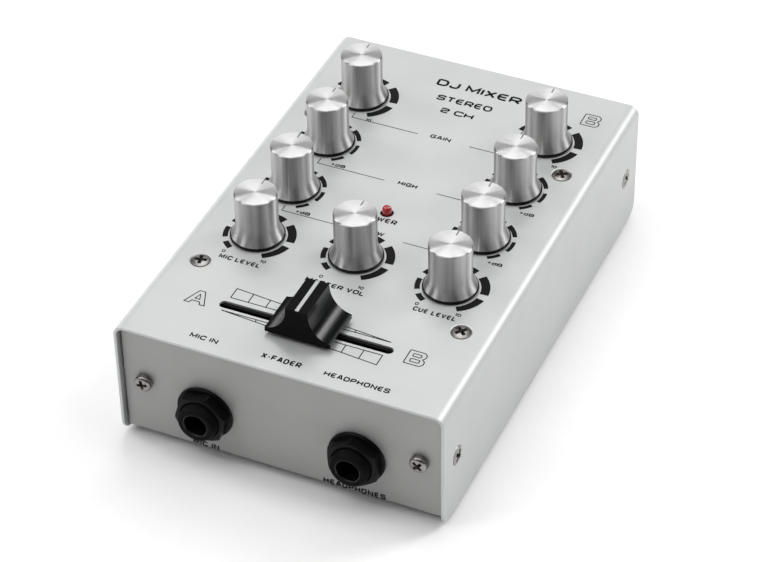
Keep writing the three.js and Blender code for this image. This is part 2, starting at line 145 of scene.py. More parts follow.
def turning_marks(nodes, links, per_metre):
    """Fine rings round the piece's Z axis, on its flat face and up its side alike."""
    place = nodes.new("ShaderNodeTexCoord")
    flatten = nodes.new("ShaderNodeVectorMath")
    flatten.operation = "MULTIPLY"
    flatten.inputs[1].default_value = (1, 1, 0)
    radius = nodes.new("ShaderNodeVectorMath")
    radius.operation = "LENGTH"
    split = nodes.new("ShaderNodeSeparateXYZ")
    total = nodes.new("ShaderNodeMath")
    texture = nodes.new("ShaderNodeTexNoise")
    texture.noise_dimensions = "1D"
    texture.inputs["Scale"].default_value = per_metre
    texture.inputs["Detail"].default_value = 4
    links.new(place.outputs["Object"], flatten.inputs[0])
    links.new(flatten.outputs["Vector"], radius.inputs[0])
    links.new(place.outputs["Object"], split.inputs["Vector"])
    links.new(radius.outputs["Value"], total.inputs[0])
    links.new(split.outputs["Z"], total.inputs[1])
    links.new(total.outputs["Value"], texture.inputs["W"])
    return texture.outputs["Fac"]


def spread(nodes, links, source, low, high):
    """Stretches the middle of a noise to a range of values."""
    ends = {"From Min": 0.3, "From Max": 0.7, "To Min": low, "To Max": high}
    map_range = nodes.new("ShaderNodeMapRange")
    for end, value in ends.items():
        map_range.inputs[end].default_value = value
    links.new(source, map_range.inputs["Value"])
    return map_range.outputs["Result"]


def finish(name, color, metallic, rough, grain, bump, tone=0.06, marks=0, patches=(60, 1), **inputs):
    """A finish whose tone and roughness vary softly, with a fine relief of its own.

    rough is the range of the roughness, grain and bump the relief's scale and strength, and tone
    how far the color varies. marks gives a turned face rings instead, at so many per metre.
    patches is the scale of the tone's patches, and its share along Z. inputs are other inputs of
    the surface, with underscores for spaces.
    """
    material = bpy.data.materials.new(name)
    material.use_nodes = True
    nodes, links = material.node_tree.nodes, material.node_tree.links
    surface = nodes["Principled BSDF"]
    surface.inputs["Metallic"].default_value = metallic
    for socket, value in inputs.items():
        surface.inputs[socket.replace("_", " ")].default_value = value
    mix = nodes.new("ShaderNodeMix")
    mix.data_type = "RGBA"
    mix.inputs["A"].default_value = (*(c * (1 - tone) for c in color), 1)
    mix.inputs["B"].default_value = (*(min(1, c * (1 + tone)) for c in color), 1)
    blotch = noise(nodes, links, patches[0], 4, (1, 1, patches[1]))
    links.new(spread(nodes, links, blotch, 0, 1), mix.inputs["Factor"])
    links.new(mix.outputs["Result"], surface.inputs["Base Color"])
    fine = turning_marks(nodes, links, marks) if marks else noise(nodes, links, grain, 2)
    links.new(spread(nodes, links, fine, *rough), surface.inputs["Roughness"])
    relief = nodes.new("ShaderNodeBump")
    relief.inputs["Strength"].default_value = bump
    relief.inputs["Distance"].default_value = RELIEF_DEPTH
    links.new(fine, relief.inputs["Height"])
    links.new(relief.outputs["Normal"], surface.inputs["Normal"])
    return material


def brushed_round(material):
    """Stretches the highlights of a turned face across its rings."""
    nodes, links = material.node_tree.nodes, material.node_tree.links
    tangent = nodes.new("ShaderNodeTangent")
    tangent.direction_type = "RADIAL"
    tangent.axis = "Z"
    links.new(tangent.outputs["Tangent"], nodes["Principled BSDF"].inputs["Tangent"])
    return material


SILVER = finish("silver_paint", (0.575, 0.585, 0.58), 0.65, (0.48, 0.56), 9000, 0.25, 0.02)
# The chassis takes a darker grey copy of the cover's silver paint. This is painted shade for the front
# panel, which faces away from the lights.
SHADED_PANEL_PAINT = finish("panel_paint", (0.36, 0.36, 0.356), 0.45, (0.42, 0.52), 7000, 0.3, 0.025)
# The knob's sides take a darker copy of the aluminium than its top face, which is painted shade. Their
# tone varies in tall vertical bands, which are painted reflection streaks.
SHADED_STREAKED_ALUMINIUM = brushed_round(
    finish("spun_aluminium", (0.43, 0.43, 0.427), 1, (0.3, 0.37), 9000, 0.1, 0.17, 30000, (480, 0.02),
           Anisotropic=1.0, Anisotropic_Rotation=0.25)
)
FACED_ALUMINIUM = brushed_round(
    finish("faced_aluminium", (0.67, 0.67, 0.667), 1, (0.38, 0.45), 9000, 0.06, 0.02, 30000,
           Anisotropic=0.9, Anisotropic_Rotation=0.25)
)
ZINC = finish("screw_steel", (0.3, 0.29, 0.28), 1, (0.24, 0.36), 4000, 0.2, 0.12)
STEEL = finish("plain_steel", (0.62, 0.62, 0.61), 1, (0.28, 0.42), 3000, 0.2, 0.08)
NICKEL = finish("nickel_plate", (0.76, 0.73, 0.68), 1, (0.12, 0.24), 4000, 0.1)
BLACK = finish("black_plastic", (0.004, 0.004, 0.0042), 0, (0.3, 0.4), 6000, 0.3, 0.15,
               Specular_IOR_Level=0.12)
GLOSS_BLACK = finish("gloss_black_plastic", (0.002, 0.0025, 0.0025), 0, (0.2, 0.26), 5000, 0.08, 0.15,
                     Specular_IOR_Level=0.3)
GRAINED_BLACK = finish("grained_black_plastic", (0.003, 0.003, 0.003), 0, (0.5, 0.6), 5000, 0.3, 0.15,
                       Specular_IOR_Level=0.06)
MATT_BLACK = finish("matt_black_plastic", (0.01, 0.01, 0.01), 0, (0.55, 0.7), 5000, 0.4, 0.15,
                    Specular_IOR_Level=0.2)
RUBBER = finish("foot_rubber", (0.016, 0.016, 0.016), 0, (0.75, 0.9), 4000, 0.5, 0.2)
GREEN_BOARD = finish("circuit_board", (0.012, 0.1, 0.035), 0, (0.3, 0.5), 1500, 0.3, 0.25)
INK = finish("print_black", (0.0045, 0.0045, 0.005), 0, (0.4, 0.5), 6000, 0.1, 0.1,
             Specular_IOR_Level=0.1)
# The pointer groove's faces are a flat dark grey, painted shade in the groove.
GROOVE_SHADE_GREY = finish("pointer_groove_shade", (0.2, 0.2, 0.2), 0, (0.5, 0.6), 6000, 0.1, 0.1,
                   Specular_IOR_Level=0.2)
WHITE_INK = finish("print_white", (0.42, 0.43, 0.42), 0, (0.4, 0.5), 6000, 0.15, 0.03)
RED_LENS = finish("red_lens", (0.36, 0.008, 0.014), 0, (0.06, 0.12), 3000, 0.05, 0.1,
                  Coat_Weight=0.6, Coat_Roughness=0.04)
WHITE_INSULATOR = finish("insulator_white", (0.7, 0.7, 0.68), 0, (0.35, 0.45), 4000, 0.15, 0.03)
RED_INSULATOR = finish("insulator_red", (0.5, 0.03, 0.03), 0, (0.35, 0.45), 4000, 0.15, 0.05)
FLOOR_WHITE = finish("floor_white", (0.92, 0.92, 0.92), 0, (0.8, 0.9), 300, 0.05, 0.01)


# ---- Outlines and meshes ----


def arc(x, y, radius, start, stop, steps):
    """Points on an arc, angles in degrees anticlockwise from +X."""
    angles = (math.radians(start + (stop - start) * k / steps) for k in range(steps + 1))
    return [(x + radius * math.cos(a), y + radius * math.sin(a)) for a in angles]


def circle(x, y, radius, steps=48):
    return arc(x, y, radius, 0, 360, steps)[:-1]


def rounded_box(half_x, half_y, radius, steps=8):
    points = []
    for side_x, side_y, start in ((1, 1, 0), (-1, 1, 90), (-1, -1, 180), (1, -1, 270)):
        x, y = side_x * (half_x - radius), side_y * (half_y - radius)
        points += arc(x, y, radius, start, start + 90, steps)
    return points


def softened(points, radius, steps=4, closed=False):
    """The polyline with each corner replaced by a short curve that starts up to radius away from it."""
    result = []
    count = len(points)
    for k, point in enumerate(points):
        if not closed and k in (0, count - 1):
            result.append(tuple(point))
            continue
        corner = Vector(point)
        before, after = Vector(points[k - 1]), Vector(points[(k + 1) % count])
        start = corner + (before - corner).normalized() * min(radius, (before - corner).length * 0.48)
        end = corner + (after - corner).normalized() * min(radius, (after - corner).length * 0.48)
        for i in range(steps + 1):
            t = i / steps
            result.append(tuple(start * (1 - t) ** 2 + corner * 2 * t * (1 - t) + end * t * t))
    return result


def lathe(profile, steps=96):
    """A closed turned body from (radius, height) points that start and end on the axis."""
    shape = bmesh.new()
    rings = []
    for radius, height in profile:
        count = steps if radius > 1e-6 else 1
        turns = [math.tau * k / steps for k in range(count)]
        points = [(radius * math.cos(a), radius * math.sin(a), height) for a in turns]
        rings.append([shape.verts.new(point) for point in points])
    for low, high in zip(rings, rings[1:]):
        for k in range(steps):
            n = (k + 1) % steps
            quad = [low[k % len(low)], low[n % len(low)], high[n % len(high)], high[k % len(high)]]
            face = list(dict.fromkeys(quad))
            if len(face) > 2:
                shape.faces.new(face)
    bmesh.ops.recalc_face_normals(shape, faces=shape.faces)
    return shape


def slab(shape, outline, low, high):
    """Adds a closed prism over an outline drawn in X and Y."""
    bottom = [shape.verts.new((x, y, low)) for x, y in outline]
    top = [shape.verts.new((x, y, high)) for x, y in outline]
    shape.faces.new(reversed(bottom))
    shape.faces.new(top)
    for k in range(len(outline)):
        n = (k + 1) % len(outline)
        shape.faces.new((bottom[k], bottom[n], top[n], top[k]))


def block(x0, x1, y0, y1, z0, z1, edge=0.0):
    """A box, with its edges rounded if edge gives them a radius."""
    shape = bmesh.new()
    slab(shape, [(x0, y0), (x1, y0), (x1, y1), (x0, y1)], z0, z1)
    if edge:
        rounded(shape, shape.edges[:], edge, 2)
    return shape


def rounded(shape, edges, radius, segments):
    bmesh.ops.bevel(shape, geom=edges, offset=radius, segments=segments, affect="EDGES", profile=0.5)


def finish_mesh(name, shape, material, smooth_below=35):
    """The mesh in metres, shaded smooth where its faces meet at less than the given degrees."""
    bmesh.ops.recalc_face_normals(shape, faces=shape.faces)
    bmesh.ops.scale(shape, vec=(MM, MM, MM), verts=shape.verts)
    mesh = bpy.data.meshes.new(name)
    shape.to_mesh(mesh)
    shape.free()
    mesh.materials.append(material)
    mesh.polygons.foreach_set("use_smooth", [True] * len(mesh.polygons))
    mesh.set_sharp_from_angle(angle=math.radians(smooth_below))
    return mesh


def carved(shape, *cutters):
    """The shape with the cutters' volumes taken away, as a new bmesh."""
    def as_object(part):
        mesh = bpy.data.meshes.new("carving")
        part.to_mesh(mesh)
        part.free()
        holder = bpy.data.objects.new("carving", mesh)
        scene.collection.objects.link(holder)
        return holder

    body = as_object(shape)
    tools = [as_object(cutter) for cutter in cutters]
    for tool in tools:
        modifier = body.modifiers.new("cut", "BOOLEAN")
        modifier.operation = "DIFFERENCE"
        modifier.solver = "EXACT"
        modifier.object = tool
    view = bpy.context.evaluated_depsgraph_get()
    result = bmesh.new()
    result.from_mesh(body.evaluated_get(view).to_mesh())
    for holder in (body, *tools):
        mesh = holder.data
        bpy.data.objects.remove(holder)
        bpy.data.meshes.remove(mesh)
    return result


def joined(shape, other):
    """Adds the other bmesh to the shape as a loose body."""
    mesh = bpy.data.meshes.new("join")
    other.to_mesh(mesh)
    other.free()
    shape.from_mesh(mesh)
    bpy.data.meshes.remove(mesh)


def ring_body(profile, steps=96):
    """A turned body from a closed profile that keeps clear of the axis."""
    shape = lathe(profile + profile[:1], steps)
    bmesh.ops.remove_doubles(shape, verts=shape.verts, dist=1e-4)
    bmesh.ops.recalc_face_normals(shape, faces=shape.faces)
    return shape


def add_piece(name, mesh, body, replaces=(), location=(0, 0, 0), rotation=None, weighted=False):
    """Places a mesh in the scene as a visible piece that rides a body."""
    piece = bpy.data.objects.new(name, mesh)
    scene.collection.objects.link(piece)
    turn = rotation.to_4x4() if rotation else Matrix.Identity(4)
    piece.matrix_world = Matrix.Translation(Vector(location) * MM) @ turn
    if weighted:
        modifier = piece.modifiers.new("even_normals", "WEIGHTED_NORMAL")
        modifier.keep_sharp = True
    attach(piece, body)
    if replaces:
        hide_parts(*replaces)
    return piece


def body_of(node):
    return next(name for name, empty in frame["bodies"].items() if frame["nodes"][node].parent == empty)


TO_FRONT = Matrix.Rotation(math.radians(90), 3, "X")  # +Z turns to -Y
TO_BACK = Matrix.Rotation(math.radians(180), 3, "Z") @ TO_FRONT  # +Z turns to +Y, seen from behind
TO_RIGHT = Matrix.Rotation(math.radians(90), 3, "Y")
TO_LEFT = Matrix.Rotation(math.radians(-90), 3, "Y")


# ---- Folded sheets ----

SHEET_EDGE, EDGE_STEPS = 0.22, 3  # rounding of a sheet's edges
FOLD_STEPS = 14
# Half length, half width and end radius. Round ends stay just under the half width, so that no
# two points of the outline meet.
FADER_SLOT = (27.85, 1.5, 1.4999)
SWITCH_SLOT = (3.3, 2.3, 0.5)


def flat_sheet(outline, holes):
    """A sheet lying below Z = 0 with rounded edges.

    The outline and the holes are functions of how far the material is inset and at what height.
    """
    shape = bmesh.new()
    loops = [outline] + holes
    levels = []
    for k in range(EDGE_STEPS + 1):
        angle = math.pi / 2 * k / EDGE_STEPS
        levels.append((SHEET_EDGE * (1 - math.sin(angle)), -SHEET_EDGE * (1 - math.cos(angle))))
    levels += [(inset, -SHEET - height) for inset, height in reversed(levels)]
    rims = []
    for loop in loops:
        rings = []
        for inset, height in levels:
            rings.append([shape.verts.new((x, y, height)) for x, y in loop(inset, height)])
        for upper, lower in zip(rings, rings[1:]):
            for k in range(len(upper)):
                n = (k + 1) % len(upper)
                shape.faces.new((upper[k], upper[n], lower[n], lower[k]))
        rims.append((rings[0], rings[-1]))
    for side in (0, 1):
        edges = []
        for rim in rims:
            ring = rim[side]
            edges += [shape.edges.get((ring[k], ring[(k + 1) % len(ring)])) for k in range(len(ring))]
        bmesh.ops.triangle_fill(shape, edges=edges, use_beauty=True, use_dissolve=False)
    return shape


def folded(shape, flat, radius, axis):
    """Folds the sheet down past flat on both sides of the given axis (0 or 1), to an outer radius."""
    arc_length = radius * math.pi / 2
    normal = Vector((1, 0, 0)) if axis == 0 else Vector((0, 1, 0))
    for side in (-1, 1):
        for k in range(FOLD_STEPS + 1):
            geometry = shape.verts[:] + shape.edges[:] + shape.faces[:]
            place = normal * side * (flat + arc_length * k / FOLD_STEPS)
            bmesh.ops.bisect_plane(shape, geom=geometry, dist=1e-5, plane_co=place, plane_no=normal)
    for vert in shape.verts:
        along, depth = vert.co[axis], vert.co.z
        past = abs(along) - flat
        side = math.copysign(1, along)
        if past <= 0:
            continue
        angle = min(past / radius, math.pi / 2)
        vert.co[axis] = side * (flat + (radius + depth) * math.sin(angle))
        vert.co.z = -radius + (radius + depth) * math.cos(angle) - max(0, past - arc_length)
    return shape


def rounded_sheet(half_x, half_y, corner):
    return lambda inset, height: rounded_box(half_x - inset, half_y - inset, corner - inset)


def round_hole(x, y, radius, steps=48):
    return lambda inset, height: circle(x, y, radius + inset, steps)


def screw_hole(x, y, radius):
    """A countersunk hole, which narrows with depth."""
    return lambda inset, height: circle(x, y, radius + inset + height * 0.9)


def slot_hole(x, y, half_length, half_width, radius):
    def outline(inset, height):
        points = rounded_box(half_length + inset, half_width + inset, radius + inset)
        return [(x + px, y + py) for px, py in points]

    return outline


def make_cover():
    """The silver sheet of the top and both sides, drawn flat about the middle of the top."""
    bend, corner = 3.5, 4.5
    knob_hole, lamp_hole, screw_head = 4, 2.0, 3.3
    half_x = (cover_high.x - cover_low.x) / 2
    half_y = (cover_high.y - cover_low.y) / 2
    flat = half_x - bend
    wall_start = flat + bend * math.pi / 2
    wall_top = TOP - bend
    reach = wall_start + wall_top - cover_low.z
    holes = []
    for node in KNOBS:
        place = centre_mm(node)
        holes.append(round_hole(place.x, place.y - MID_Y, knob_hole))
    lamp = centre_mm("power_led")
    holes.append(round_hole(lamp.x, lamp.y - MID_Y, lamp_hole))
    track = centre_mm("fader_housing")
    holes.append(slot_hole(track.x, track.y - MID_Y, *FADER_SLOT))
    for name in CORNERS:
        on_top = centre_mm(f"top_screw_{name}")
        holes.append(screw_hole(on_top.x, on_top.y - MID_Y, screw_head))
        on_side = centre_mm(f"side_screw_{name}")
        along = math.copysign(wall_start + wall_top - on_side.z, on_side.x)
        holes.append(screw_hole(along, on_side.y - MID_Y, screw_head))
    shape = folded(flat_sheet(rounded_sheet(reach, half_y, corner), holes), flat, bend, 0)
    mesh = finish_mesh("cover_sheet", shape, SILVER)
    at = (0, MID_Y, TOP)
    add_piece("cover_sheet", mesh, "casing", ["top_cover"], at, weighted=True)


def make_chassis():
    """The sheet of the floor and both panels, drawn flat about the middle of the floor, in a grey copy
    of the silver paint that is painted shade.
    """
    bend, corner = 1.5, 2.2
    jack_hole, screw_hole_radius, phono_hole, inlet_hole = 6.5, 1.8, 4.45, 4.2
    half_x = (chassis_high.x - chassis_low.x) / 2
    half_y = (REAR - FRONT) / 2
    flat = half_y - bend
    wall_start = flat + bend * math.pi / 2
    wall_low = chassis_low.z + bend
    reach = wall_start + chassis_high.z - wall_low

    def on_panel(node, z=None):
        """Where a node meets its panel on the flat sheet, at its own height or at z."""
        place = centre_mm(node)
        height = place.z if z is None else z
        return place.x, math.copysign(wall_start + height - wall_low, place.y)

    holes = [round_hole(*on_panel(f"jack_{n}"), jack_hole, 64) for n in ("mic", "headphone")]
    holes += [round_hole(*on_panel(f"panel_screw_{n}"), screw_hole_radius, 32) for n in CORNERS]
    holes += [round_hole(*on_panel(n, z), phono_hole) for n in PHONO_NODES for z in PHONO_HEIGHTS]
    holes.append(round_hole(*on_panel("power_inlet", INLET_HEIGHT), inlet_hole))
    for channel in "ab":
        x, along = on_panel(f"switch_slider_{channel}")
        holes.append(slot_hole(x + SWITCH_TRAVEL / 2, along, *SWITCH_SLOT))
    shape = folded(flat_sheet(rounded_sheet(half_x, reach, corner), holes), flat, bend, 1)
    for vert in shape.verts:
        vert.co.z = -vert.co.z
    bmesh.ops.reverse_faces(shape, faces=shape.faces)
    mesh = finish_mesh("chassis_sheet", shape, SHADED_PANEL_PAINT)
    at = (0, MID_Y, chassis_low.z)
    add_piece("chassis_sheet", mesh, "casing", ["chassis"], at, weighted=True)


# ---- Knobs ----


def knob_mesh():
    """A spun aluminium knob: a straight body that swells to a skirt, with a cut pointer line."""
    height, radius, waist, skirt, base = 16.6, 6.68, 6.58, 8.12, 0.9
    bore, bore_top = 3.3, 12.8
    flare_low, flare_high, flare_power, flare_steps = 1.15, 5.6, 1.6, 16
    groove_half, groove_start, groove_end, groove_depth = 0.18, 4.1, 7.2, 0.35
    profile = [(0, bore_top), (bore, bore_top), (bore, base), (skirt - 0.12, base), (skirt, base + 0.1)]
    for k in range(flare_steps + 1):
        share = k / flare_steps
        swell = (skirt - waist) * (1 - share) ** flare_power
        profile.append((waist + swell, flare_low + (flare_high - flare_low) * share))
    profile += [(waist + 0.03, 11), (radius, height - 0.3), (radius - 0.04, height - 0.23)]
    profile += [(radius - 0.22, height - 0.04), (radius - 0.3, height), (3, height)]
    profile += [(0.35, height - 0.02), (0, height - 0.05)]
    groove_low = height - groove_depth
    groove = block(-groove_half, groove_half, groove_start, groove_end, groove_low, height + 1)
    shape = carved(lathe(profile, 128), groove)
    shape.normal_update()
    for face in shape.faces:
        middle = face.calc_center_median()
        across, along = abs(middle.x) - groove_half, middle.y - groove_start
        # The pointer groove's faces get the dark grey, painted shade.
        if across < 0.01 and along > -0.01 and middle.z < height - 0.05:
            face.material_index = 2
        # Faces that look up keep the lighter aluminium. The sides get the darker, streaked copy, with
        # painted shade and painted reflections.
        elif face.normal.z > 0.9:
            face.material_index = 1
    mesh = finish_mesh("knob", shape, SHADED_STREAKED_ALUMINIUM, 28)
    mesh.materials.append(FACED_ALUMINIUM)
    mesh.materials.append(GROOVE_SHADE_GREY)
    return mesh


def flange_mesh():
    """The black collar that the knob's skirt sits on."""
    shape = ring_body([(3.4, 0.89), (3.4, 0.4), (8.3, 0.4), (8.5, 0.55), (8.5, 0.8), (8.42, 0.89)])
    return finish_mesh("knob_collar", shape, BLACK)


def make_knobs():
    spun = knob_mesh()
    collar = flange_mesh()
    for node in KNOBS:
        control = node.removeprefix("knob_")
        place = centre_mm(node)
        at = (place.x, place.y, TOP)
        body = body_of(node)
        add_piece(f"spun_{node}", spun, body, [node], at)
        add_piece(f"collar_{control}", collar, body, (), at)


# ---- Crossfader ----

CAP_TOP = 10.8


def cap_outline():
    """Half of the waisted section: a flat ridge with a quarter-ellipse scoop down to the foot."""
    half, ridge_half, steps = 10.5, 3.54, 24
    scoop_x, scoop_z, rx, rz = 11.3, 10.0, 7.72, 8.6
    start = math.acos((scoop_x - half) / rx)
    foot = scoop_z - rz * math.sin(start)
    points = [(half, 0), (half, foot)]
    for k in range(1, steps + 1):
        angle = start * (1 - k / steps)
        points.append((scoop_x - rx * math.cos(angle), scoop_z - rz * math.sin(angle)))
    return points + [(ridge_half, CAP_TOP)]


def make_fader_cap():
    """The cap, hollow for the carriage's stem, and the white line along its ridge."""
    low, high = box_mm("fader_cap")
    half_length = (high.y - low.y) / 2
    stem_half_y, edge = 1.05, 0.22
    right = cap_outline()
    outline = right + [(-x, z) for x, z in reversed(right)]
    shape = bmesh.new()
    slab(shape, outline, -half_length, half_length)
    sharp = [e for e in shape.edges if e.calc_face_angle(0) > math.radians(30)]
    rounded(shape, sharp, edge, 3)
    bmesh.ops.rotate(shape, verts=shape.verts, cent=(0, 0, 0), matrix=TO_FRONT)
    wide = block(-4.3, 4.3, -stem_half_y, stem_half_y, -1, 3.9)
    narrow = block(-2.3, 2.3, -stem_half_y, stem_half_y, -1, 7.1)
    shell = carved(shape, wide, narrow)
    shell.normal_update()
    for face in shell.faces:
        if abs(face.normal.y) > 0.9 or face.normal.z > 0.99:
            face.material_index = 1
    mesh = finish_mesh("fader_cap_shell", shell, GLOSS_BLACK, 32)
    mesh.materials.append(GRAINED_BLACK)
    at = ((low.x + high.x) / 2, (low.y + high.y) / 2, low.z)
    add_piece("fader_cap_shell", mesh, "crossfader", ["fader_cap"], at)
    shape = bmesh.new()
    slab(shape, rounded_box(0.56, half_length - 0.12, 0.1, 3), CAP_TOP - 0.02, CAP_TOP + 0.03)
    line = finish_mesh("fader_cap_line", shape, WHITE_INK)
    add_piece("fader_cap_line", line, "crossfader", (), at)


# ---- Fasteners, lamp and feet ----


def cross_cutter(top, size):
    """The tapered cross of a cross-head screw."""
    cutter = bmesh.new()

    def cross(reach, half):
        quarter = [(half, half), (half, reach), (-half, reach)]
        turns = (lambda x, y: (x, y), lambda x, y: (-y, x), lambda x, y: (-x, -y), lambda x, y: (y, -x))
        return [turn(x, y) for turn in turns for x, y in quarter]

    levels = ((top - size * 0.5, 0.2, 0.07), (top, 0.5, 0.14), (top + 0.5, 0.52, 0.145))
    rings = [[cutter.verts.new((x, y, z)) for x, y in cross(size * a, size * b)] for z, a, b in levels]
    cutter.faces.new(rings[0])
    cutter.faces.new(rings[-1])
    for low, high in zip(rings, rings[1:]):
        for k in range(len(low)):
            n = (k + 1) % len(low)
            cutter.faces.new((low[k], low[n], high[n], high[k]))
    bmesh.ops.recalc_face_normals(cutter, faces=cutter.faces)
    return cutter


def thread(radius, depth, pitch, low, high):
    """Ridges of a screw thread as rings, from low to high."""
    points = []
    count = int((high - low) / pitch)
    for k in range(count):
        z = low + pitch * k
        points += [(radius, z), (radius - depth, z + pitch * 0.5)]
    return points + [(radius, low + pitch * count)]


def countersunk_mesh(length):
    shank = thread(1.45, 0.2, 0.5, -length + 0.4, -2)
    profile = [(0, -length), (1.2, -length), *shank, (1.45, -1.7), (2.95, -0.2), (3.04, -0.1)]
    profile += [(2.98, 0), (2.5, 0.16), (1.6, 0.3), (0, 0.36)]
    screw = carved(lathe(profile, 64), cross_cutter(0.3, 4.1))
    return finish_mesh("countersunk_screw", screw, ZINC, 30)


def pan_head_mesh():
    shank = thread(1.45, 0.2, 0.5, -5.6, -1)
    profile = [(0, -6), (1.2, -6), *shank, (1.45, 0), (2.7, 0), (2.8, 0.12), (2.8, 1.3)]
    profile += [(2.74, 1.62), (2.56, 1.9), (2.25, 2.12), (1.7, 2.28), (0.9, 2.37), (0, 2.4)]
    screw = carved(lathe(profile, 64), cross_cutter(2.35, 3.6))
    return finish_mesh("pan_head_screw", screw, ZINC, 30)


def make_screws():
    """Twelve screws, three at each corner, each cross turned its own way."""
    for_top, for_side, for_panel = countersunk_mesh(8), countersunk_mesh(6), pan_head_mesh()
    for name, degrees in zip(CORNERS, (12, 48, 75, 30)):
        spin = Matrix.Rotation(math.radians(degrees), 3, "Z")
        top, side, panel = (f"{kind}_screw_{name}" for kind in ("top", "side", "panel"))
        spot = centre_mm(top)
        placed = [(top, for_top, (spot.x, spot.y, TOP), spin)]
        spot = centre_mm(side)
        facing = TO_RIGHT if spot.x > 0 else TO_LEFT
        wall = math.copysign(cover_high.x, spot.x)
        placed.append((side, for_side, (wall, spot.y, spot.z), facing @ spin))
        spot = centre_mm(panel)
        facing, wall = (TO_FRONT, FRONT) if spot.y < 0 else (TO_BACK, REAR)
        placed.append((panel, for_panel, (spot.x, wall, spot.z), facing @ spin))
        for node, mesh, at, rotation in placed:
            add_piece(f"{node}_cross", mesh, "casing", [node], at, rotation)


def make_feet():
    profile = [(0, 0.35), (2.2, 0.35), (2.5, 0), (4.4, 0), (4.8, 0.12), (4.97, 0.5), (5, 2.6)]
    profile += [(4.9, 2.7), (0, 2.7)]
    mesh = finish_mesh("foot", lathe(profile, 64), RUBBER, 25)
    for name in CORNERS:
        node = f"foot_{name}"
        at = centre_mm(node)
        add_piece(f"{node}_pad", mesh, "casing", [node], (at.x, at.y, 0))


def make_led():
    """A domed lamp ringed in black, painted shade for the gap in its hole, with two legs that reach
    down to the board.
    """
    low, high = box_mm("power_led")
    at = ((low.x + high.x) / 2, (low.y + high.y) / 2, TOP)
    radius, flange, tip = 1.5, 1.9, high.z - TOP
    shoulder = tip - radius
    profile = [(0, -4), (flange, -4), (flange, -3), (radius, -3), (radius, shoulder)]
    profile += arc(0, shoulder, radius, 0, 90, 12)[1:-1] + [(0, tip)]
    lens = finish_mesh("led_lens", lathe(profile, 64), RED_LENS)
    add_piece("led_lens", lens, "casing", ["power_led"], at)
    # The black ring round the lens stands in for the shade in the gap of its hole: painted shade.
    ring = ring_body([(1.62, 0.04), (1.62, -2.4), (flange, -2.4), (flange, 0.04)], 48)
    collar = finish_mesh("led_shade_ring", ring, BLACK)
    add_piece("led_shade_ring", collar, "casing", (), at)
    shape = block(-1.52, -1.02, -0.25, 0.25, -15.9, -3.9, 0.05)
    slab(shape, [(1.02, -0.25), (1.52, -0.25), (1.52, 0.25), (1.02, 0.25)], -15.9, -3.9)
    legs = finish_mesh("led_legs", shape, ZINC)
    add_piece("led_legs", legs, "casing", (), at)


# ---- Front jacks ----


def jack_mesh():
    """Threaded barrel and moulded body, drawn with the panel's outer face at Z = 0, pointing out."""
    tip, bore = 7.2, 3.6
    bottom = tip - 33
    outer = [(0, -3), (6.1, -3), *thread(6.2, 0.3, 0.8, -1, tip - 1.4), (5.95, tip - 1.2)]
    outer += [(5.75, tip - 0.4), (5.55, tip - 0.1), (5.25, tip), (bore + 0.42, tip)]
    outer += [(bore + 0.25, tip - 0.06), (bore + 0.06, tip - 0.28), (bore, tip - 0.5)]
    outer += [(bore, bottom), (0, bottom)]
    body = block(-8, 8, -8.1, 8.1, -28.6, -1, 0.4)
    passage = lathe([(0, bottom), (bore, bottom), (bore, 2), (0, 2)])
    shape = carved(body, passage)
    joined(shape, lathe(outer))
    for face in shape.faces:
        middle = face.calc_center_median()
        if middle.z > tip - 0.45 and middle.xy.length < bore + 0.4:
            face.material_index = 1
    mesh = finish_mesh("jack", shape, GRAINED_BLACK, 30)
    mesh.materials.append(GLOSS_BLACK)
    return mesh


def nut_mesh():
    """Hexagon nut with chamfered corners on a round flange, bored for the barrel."""
    corner, height, bore = 15 / math.sqrt(3), 4.45, 6.55
    nut = bmesh.new()
    slab(nut, circle(0, 0, corner, 6), 0, height)
    chamfer = [(corner - 1.2, 4.46), (corner - 0.7, 4.3), (corner + 0.1, 3.75), (corner + 0.1, -1)]
    outside = ring_body([(corner + 3, -1), (corner + 3, 6), (corner - 1.2, 6), *chamfer])
    passage = lathe([(0, -2), (bore, -2), (bore, 6), (0, 6)])
    shape = carved(nut, outside, passage)
    flange = [(bore, 0), (8.8, 0), (9, 0.2), (9, 0.75), (8.85, 0.95), (8.3, 1.02), (bore, 1.02)]
    joined(shape, ring_body(flange))
    return finish_mesh("jack_nut", shape, BLACK, 30)


def make_jacks():
    jack, nut = jack_mesh(), nut_mesh()
    spring = ring_body([(3.0, -2), (3.5, -2), (3.5, -6), (3.0, -6)], 64)
    contact = finish_mesh("jack_contact", spring, NICKEL)
    for name, degrees in (("mic", 13), ("headphone", 33)):
        spot = centre_mm(f"jack_{name}")
        at = (spot.x, FRONT, spot.z)
        turned = TO_FRONT @ Matrix.Rotation(math.radians(degrees), 3, "Z")
        title = f"jack_{name}"
        add_piece(f"{title}_body", jack, "casing", [title], at, TO_FRONT)
        add_piece(f"{title}_nut", nut, "casing", [f"jack_nut_{name}"], at, turned)
        add_piece(f"{title}_contact", contact, "casing", (), at, TO_FRONT)


# ---- Rear sockets and switches ----


